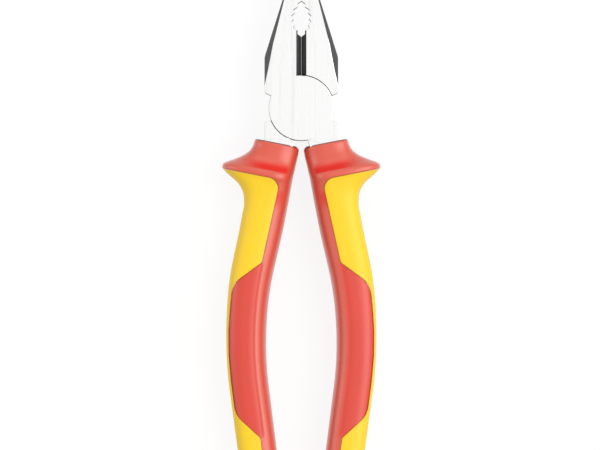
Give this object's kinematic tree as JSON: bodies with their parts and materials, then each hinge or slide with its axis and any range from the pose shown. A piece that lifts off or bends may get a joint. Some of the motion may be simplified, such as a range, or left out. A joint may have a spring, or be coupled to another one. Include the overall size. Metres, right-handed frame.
{
  "type": "lineman pliers",
  "caption": "Insulated combination pliers with a serrated pipe grip, wire cutter, lap joint and two-colour moulded grips with hand guards.",
  "frame": {"origin": "the pivot axis, at the back ground face of the joint", "axes": "+Z along the pivot axis towards the front face, +Y towards the jaw tips, +X to the right seen from the front"},
  "size_m": [0.0548, 0.1801, 0.0218],
  "materials": {
    "forged_steel": "ground faces, black oxide on the flanks",
    "rivet_steel": "ground flush",
    "sleeve_plastic": "moulded inner layer",
    "red_shell": "satin with a finely grained palm field",
    "yellow_pads": "soft satin"
  },
  "bodies": {
    "back_lever": {"back_half": "forged_steel", "rivet": "rivet_steel", "left_sleeve": "sleeve_plastic", "left_shell": "red_shell", "left_pads": "yellow_pads"},
    "front_lever": {"front_half": "forged_steel", "right_sleeve": "sleeve_plastic", "right_shell": "red_shell", "right_pads": "yellow_pads"}
  },
  "joints": [
    {"name": "pivot", "type": "hinge", "parent": "back_lever", "child": "front_lever", "pos_m": [0, 0, 0.0056], "axis": [0, 0, 1], "range_deg": [0, 40]}
  ]
}
